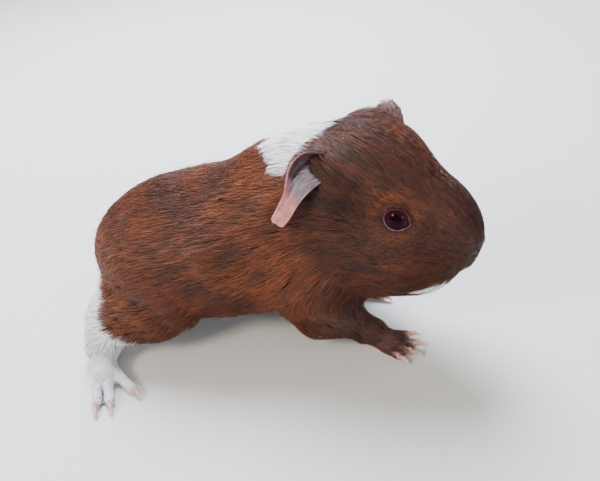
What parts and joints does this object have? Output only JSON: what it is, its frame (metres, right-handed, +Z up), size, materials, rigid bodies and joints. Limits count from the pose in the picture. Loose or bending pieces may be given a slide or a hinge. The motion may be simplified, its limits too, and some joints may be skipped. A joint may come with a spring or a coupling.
{
  "type": "guinea pig",
  "caption": "Still life-size model of a young smooth-haired guinea pig, standing with its head raised, mahogany with a white collar.",
  "frame": {"origin": "on the floor under the middle of the bounding box", "axes": "+X forward towards the head, +Y to the animal's left, +Z up; the soles lie in z = 0"},
  "size_m": [0.1358, 0.0884, 0.0788],
  "materials": {
    "mahogany_coat": "short sleek red-brown fur",
    "white_coat": "short sleek white fur",
    "bare_ear_skin": "thin bare skin, pink to mauve",
    "dark_ruby_eye": "wet gloss",
    "pale_claw": "smooth horn"
  },
  "bodies": {
    "root": {"trunk": "mahogany_coat", "neck": "white_coat", "head": "mahogany_coat", "ear_right": "bare_ear_skin", "ear_left": "bare_ear_skin", "eye_right": "dark_ruby_eye", "eye_left": "dark_ruby_eye", "foreleg_right": "mahogany_coat", "foreleg_left": "mahogany_coat", "hindleg_right": "white_coat", "hindleg_left": "mahogany_coat", "forefoot_right": "mahogany_coat", "forefoot_left": "mahogany_coat", "hindfoot_right": "white_coat", "hindfoot_left": "white_coat", "claw_forefoot_right_1": "pale_claw", "claw_forefoot_right_2": "pale_claw", "claw_forefoot_right_3": "pale_claw", "claw_forefoot_right_4": "pale_claw", "claw_forefoot_left_1": "pale_claw", "claw_forefoot_left_2": "pale_claw", "claw_forefoot_left_3": "pale_claw", "claw_forefoot_left_4": "pale_claw", "claw_hindfoot_right_1": "pale_claw", "claw_hindfoot_right_2": "pale_claw", "claw_hindfoot_right_3": "pale_claw", "claw_hindfoot_left_1": "pale_claw", "claw_hindfoot_left_2": "pale_claw", "claw_hindfoot_left_3": "pale_claw"}
  },
  "joints": []
}
